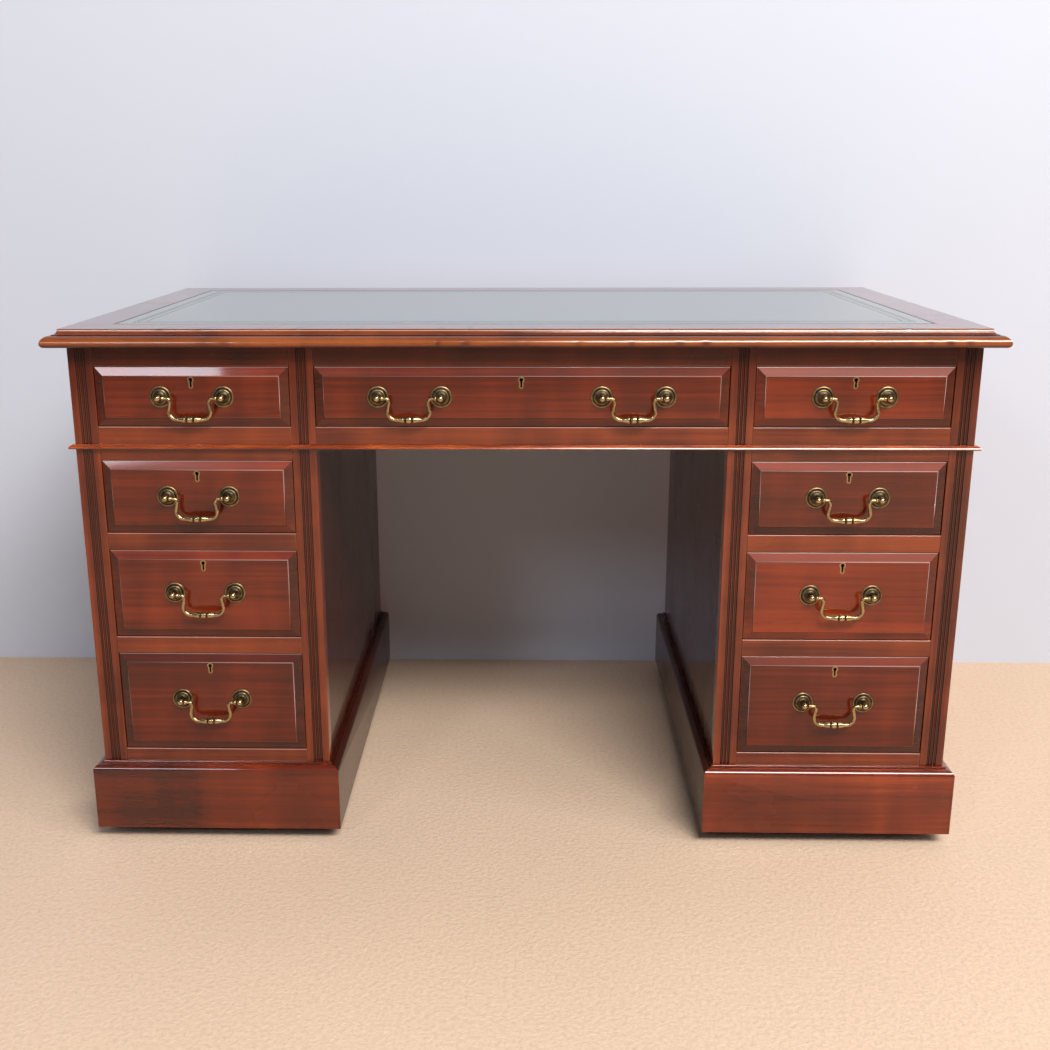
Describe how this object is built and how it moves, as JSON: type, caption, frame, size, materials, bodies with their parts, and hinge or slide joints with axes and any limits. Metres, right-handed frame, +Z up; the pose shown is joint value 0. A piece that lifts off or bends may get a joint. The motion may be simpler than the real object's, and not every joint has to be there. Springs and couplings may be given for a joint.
{
  "type": "pedestal desk",
  "caption": "Kneehole pedestal writing desk: moulded top inset with leather, fielded drawers with swan-neck drop handles, fluted stiles, moulded plinths on hidden castors.",
  "frame": {"origin": "on the floor, under the middle of the desk top", "axes": "+X to the right along the desk, +Y from the drawer side to the back, +Z up"},
  "size_m": [1.245, 0.666, 0.737],
  "materials": {
    "mahogany": "polished red-brown mahogany",
    "drawer_mahogany": "polished mahogany front on a plain pale pine box",
    "secondary_wood": "plain unpolished pine",
    "green_leather": "dark green hide with a tooled border",
    "brass": "aged cast brass",
    "castor_metal": "dull dark brass",
    "castor_wheel": "dark hardwood"
  },
  "bodies": {
    "carcass": {"desk_top": "mahogany", "writing_leather": "green_leather", "frieze_panels": "mahogany", "frieze_partitions": "secondary_wood", "frieze_front_frame": "mahogany", "waist_moulding": "mahogany", "drawer_runners": "secondary_wood", "left_pedestal_panels": "mahogany", "left_pedestal_boards": "secondary_wood", "left_pedestal_front_frame": "mahogany", "left_plinth": "mahogany", "right_pedestal_panels": "mahogany", "right_pedestal_boards": "secondary_wood", "right_pedestal_front_frame": "mahogany", "right_plinth": "mahogany", "castor_plates": "castor_metal"},
    "frieze_left_drawer": {"frieze_left_drawer": "drawer_mahogany", "frieze_left_drawer_brass": "brass"},
    "frieze_left_bail": {"frieze_left_bail": "brass"},
    "frieze_centre_drawer": {"frieze_centre_drawer": "drawer_mahogany", "frieze_centre_drawer_brass": "brass"},
    "frieze_centre_bail_left": {"frieze_centre_bail_left": "brass"},
    "frieze_centre_bail_right": {"frieze_centre_bail_right": "brass"},
    "frieze_right_drawer": {"frieze_right_drawer": "drawer_mahogany", "frieze_right_drawer_brass": "brass"},
    "frieze_right_bail": {"frieze_right_bail": "brass"},
    "left_lower_drawer": {"left_lower_drawer": "drawer_mahogany", "left_lower_drawer_brass": "brass"},
    "left_lower_bail": {"left_lower_bail": "brass"},
    "left_middle_drawer": {"left_middle_drawer": "drawer_mahogany", "left_middle_drawer_brass": "brass"},
    "left_middle_bail": {"left_middle_bail": "brass"},
    "left_upper_drawer": {"left_upper_drawer": "drawer_mahogany", "left_upper_drawer_brass": "brass"},
    "left_upper_bail": {"left_upper_bail": "brass"},
    "right_lower_drawer": {"right_lower_drawer": "drawer_mahogany", "right_lower_drawer_brass": "brass"},
    "right_lower_bail": {"right_lower_bail": "brass"},
    "right_middle_drawer": {"right_middle_drawer": "drawer_mahogany", "right_middle_drawer_brass": "brass"},
    "right_middle_bail": {"right_middle_bail": "brass"},
    "right_upper_drawer": {"right_upper_drawer": "drawer_mahogany", "right_upper_drawer_brass": "brass"},
    "right_upper_bail": {"right_upper_bail": "brass"},
    "castor_horn_left_front_outer": {"castor_horn_left_front_outer": "castor_metal"},
    "castor_wheel_left_front_outer": {"castor_wheel_left_front_outer": "castor_wheel"},
    "castor_horn_left_front_inner": {"castor_horn_left_front_inner": "castor_metal"},
    "castor_wheel_left_front_inner": {"castor_wheel_left_front_inner": "castor_wheel"},
    "castor_horn_left_rear_outer": {"castor_horn_left_rear_outer": "castor_metal"},
    "castor_wheel_left_rear_outer": {"castor_wheel_left_rear_outer": "castor_wheel"},
    "castor_horn_left_rear_inner": {"castor_horn_left_rear_inner": "castor_metal"},
    "castor_wheel_left_rear_inner": {"castor_wheel_left_rear_inner": "castor_wheel"},
    "castor_horn_right_front_outer": {"castor_horn_right_front_outer": "castor_metal"},
    "castor_wheel_right_front_outer": {"castor_wheel_right_front_outer": "castor_wheel"},
    "castor_horn_right_front_inner": {"castor_horn_right_front_inner": "castor_metal"},
    "castor_wheel_right_front_inner": {"castor_wheel_right_front_inner": "castor_wheel"},
    "castor_horn_right_rear_outer": {"castor_horn_right_rear_outer": "castor_metal"},
    "castor_wheel_right_rear_outer": {"castor_wheel_right_rear_outer": "castor_wheel"},
    "castor_horn_right_rear_inner": {"castor_horn_right_rear_inner": "castor_metal"},
    "castor_wheel_right_rear_inner": {"castor_wheel_right_rear_inner": "castor_wheel"}
  },
  "joints": [
    {"name": "frieze_left_slide", "type": "slide", "parent": "carcass", "child": "frieze_left_drawer", "axis": [0, -1, 0], "range_m": [0, 0.4]},
    {"name": "frieze_left_bail_swing", "type": "hinge", "parent": "frieze_left_drawer", "child": "frieze_left_bail", "pos_m": [-0.43475, -0.324, 0.6475], "axis": [-1, 0, 0], "range_deg": [-12, 95]},
    {"name": "frieze_centre_slide", "type": "slide", "parent": "carcass", "child": "frieze_centre_drawer", "axis": [0, -1, 0], "range_m": [0, 0.4]},
    {"name": "frieze_centre_bail_left_swing", "type": "hinge", "parent": "frieze_centre_drawer", "child": "frieze_centre_bail_left", "pos_m": [-0.147, -0.324, 0.6475], "axis": [-1, 0, 0], "range_deg": [-12, 95]},
    {"name": "frieze_centre_bail_right_swing", "type": "hinge", "parent": "frieze_centre_drawer", "child": "frieze_centre_bail_right", "pos_m": [0.147, -0.324, 0.6475], "axis": [-1, 0, 0], "range_deg": [-12, 95]},
    {"name": "frieze_right_slide", "type": "slide", "parent": "carcass", "child": "frieze_right_drawer", "axis": [0, -1, 0], "range_m": [0, 0.4]},
    {"name": "frieze_right_bail_swing", "type": "hinge", "parent": "frieze_right_drawer", "child": "frieze_right_bail", "pos_m": [0.43475, -0.324, 0.6475], "axis": [-1, 0, 0], "range_deg": [-12, 95]},
    {"name": "left_lower_slide", "type": "slide", "parent": "carcass", "child": "left_lower_drawer", "axis": [0, -1, 0], "range_m": [0, 0.4]},
    {"name": "left_lower_bail_swing", "type": "hinge", "parent": "left_lower_drawer", "child": "left_lower_bail", "pos_m": [-0.43475, -0.324, 0.2175], "axis": [-1, 0, 0], "range_deg": [-12, 95]},
    {"name": "left_middle_slide", "type": "slide", "parent": "carcass", "child": "left_middle_drawer", "axis": [0, -1, 0], "range_m": [0, 0.4]},
    {"name": "left_middle_bail_swing", "type": "hinge", "parent": "left_middle_drawer", "child": "left_middle_bail", "pos_m": [-0.43475, -0.324, 0.37525], "axis": [-1, 0, 0], "range_deg": [-12, 95]},
    {"name": "left_upper_slide", "type": "slide", "parent": "carcass", "child": "left_upper_drawer", "axis": [0, -1, 0], "range_m": [0, 0.4]},
    {"name": "left_upper_bail_swing", "type": "hinge", "parent": "left_upper_drawer", "child": "left_upper_bail", "pos_m": [-0.43475, -0.324, 0.512], "axis": [-1, 0, 0], "range_deg": [-12, 95]},
    {"name": "right_lower_slide", "type": "slide", "parent": "carcass", "child": "right_lower_drawer", "axis": [0, -1, 0], "range_m": [0, 0.4]},
    {"name": "right_lower_bail_swing", "type": "hinge", "parent": "right_lower_drawer", "child": "right_lower_bail", "pos_m": [0.43475, -0.324, 0.2175], "axis": [-1, 0, 0], "range_deg": [-12, 95]},
    {"name": "right_middle_slide", "type": "slide", "parent": "carcass", "child": "right_middle_drawer", "axis": [0, -1, 0], "range_m": [0, 0.4]},
    {"name": "right_middle_bail_swing", "type": "hinge", "parent": "right_middle_drawer", "child": "right_middle_bail", "pos_m": [0.43475, -0.324, 0.37525], "axis": [-1, 0, 0], "range_deg": [-12, 95]},
    {"name": "right_upper_slide", "type": "slide", "parent": "carcass", "child": "right_upper_drawer", "axis": [0, -1, 0], "range_m": [0, 0.4]},
    {"name": "right_upper_bail_swing", "type": "hinge", "parent": "right_upper_drawer", "child": "right_upper_bail", "pos_m": [0.43475, -0.324, 0.512], "axis": [-1, 0, 0], "range_deg": [-12, 95]},
    {"name": "castor_left_front_outer_swivel", "type": "hinge", "parent": "carcass", "child": "castor_horn_left_front_outer", "pos_m": [-0.5505, -0.261, 0.063], "axis": [0, 0, 1], "continuous": true},
    {"name": "castor_left_front_outer_roll", "type": "hinge", "parent": "castor_horn_left_front_outer", "child": "castor_wheel_left_front_outer", "pos_m": [-0.5505, -0.275, 0.018], "axis": [1, 0, 0], "continuous": true},
    {"name": "castor_left_front_inner_swivel", "type": "hinge", "parent": "carcass", "child": "castor_horn_left_front_inner", "pos_m": [-0.319, -0.261, 0.063], "axis": [0, 0, 1], "continuous": true},
    {"name": "castor_left_front_inner_roll", "type": "hinge", "parent": "castor_horn_left_front_inner", "child": "castor_wheel_left_front_inner", "pos_m": [-0.319, -0.275, 0.018], "axis": [1, 0, 0], "continuous": true},
    {"name": "castor_left_rear_outer_swivel", "type": "hinge", "parent": "carcass", "child": "castor_horn_left_rear_outer", "pos_m": [-0.5505, 0.273, 0.063], "axis": [0, 0, 1], "continuous": true},
    {"name": "castor_left_rear_outer_roll", "type": "hinge", "parent": "castor_horn_left_rear_outer", "child": "castor_wheel_left_rear_outer", "pos_m": [-0.5505, 0.259, 0.018], "axis": [1, 0, 0], "continuous": true},
    {"name": "castor_left_rear_inner_swivel", "type": "hinge", "parent": "carcass", "child": "castor_horn_left_rear_inner", "pos_m": [-0.319, 0.273, 0.063], "axis": [0, 0, 1], "continuous": true},
    {"name": "castor_left_rear_inner_roll", "type": "hinge", "parent": "castor_horn_left_rear_inner", "child": "castor_wheel_left_rear_inner", "pos_m": [-0.319, 0.259, 0.018], "axis": [1, 0, 0], "continuous": true},
    {"name": "castor_right_front_outer_swivel", "type": "hinge", "parent": "carcass", "child": "castor_horn_right_front_outer", "pos_m": [0.5505, -0.261, 0.063], "axis": [0, 0, 1], "continuous": true},
    {"name": "castor_right_front_outer_roll", "type": "hinge", "parent": "castor_horn_right_front_outer", "child": "castor_wheel_right_front_outer", "pos_m": [0.5505, -0.275, 0.018], "axis": [1, 0, 0], "continuous": true},
    {"name": "castor_right_front_inner_swivel", "type": "hinge", "parent": "carcass", "child": "castor_horn_right_front_inner", "pos_m": [0.319, -0.261, 0.063], "axis": [0, 0, 1], "continuous": true},
    {"name": "castor_right_front_inner_roll", "type": "hinge", "parent": "castor_horn_right_front_inner", "child": "castor_wheel_right_front_inner", "pos_m": [0.319, -0.275, 0.018], "axis": [1, 0, 0], "continuous": true},
    {"name": "castor_right_rear_outer_swivel", "type": "hinge", "parent": "carcass", "child": "castor_horn_right_rear_outer", "pos_m": [0.5505, 0.273, 0.063], "axis": [0, 0, 1], "continuous": true},
    {"name": "castor_right_rear_outer_roll", "type": "hinge", "parent": "castor_horn_right_rear_outer", "child": "castor_wheel_right_rear_outer", "pos_m": [0.5505, 0.259, 0.018], "axis": [1, 0, 0], "continuous": true},
    {"name": "castor_right_rear_inner_swivel", "type": "hinge", "parent": "carcass", "child": "castor_horn_right_rear_inner", "pos_m": [0.319, 0.273, 0.063], "axis": [0, 0, 1], "continuous": true},
    {"name": "castor_right_rear_inner_roll", "type": "hinge", "parent": "castor_horn_right_rear_inner", "child": "castor_wheel_right_rear_inner", "pos_m": [0.319, 0.259, 0.018], "axis": [1, 0, 0], "continuous": true}
  ]
}
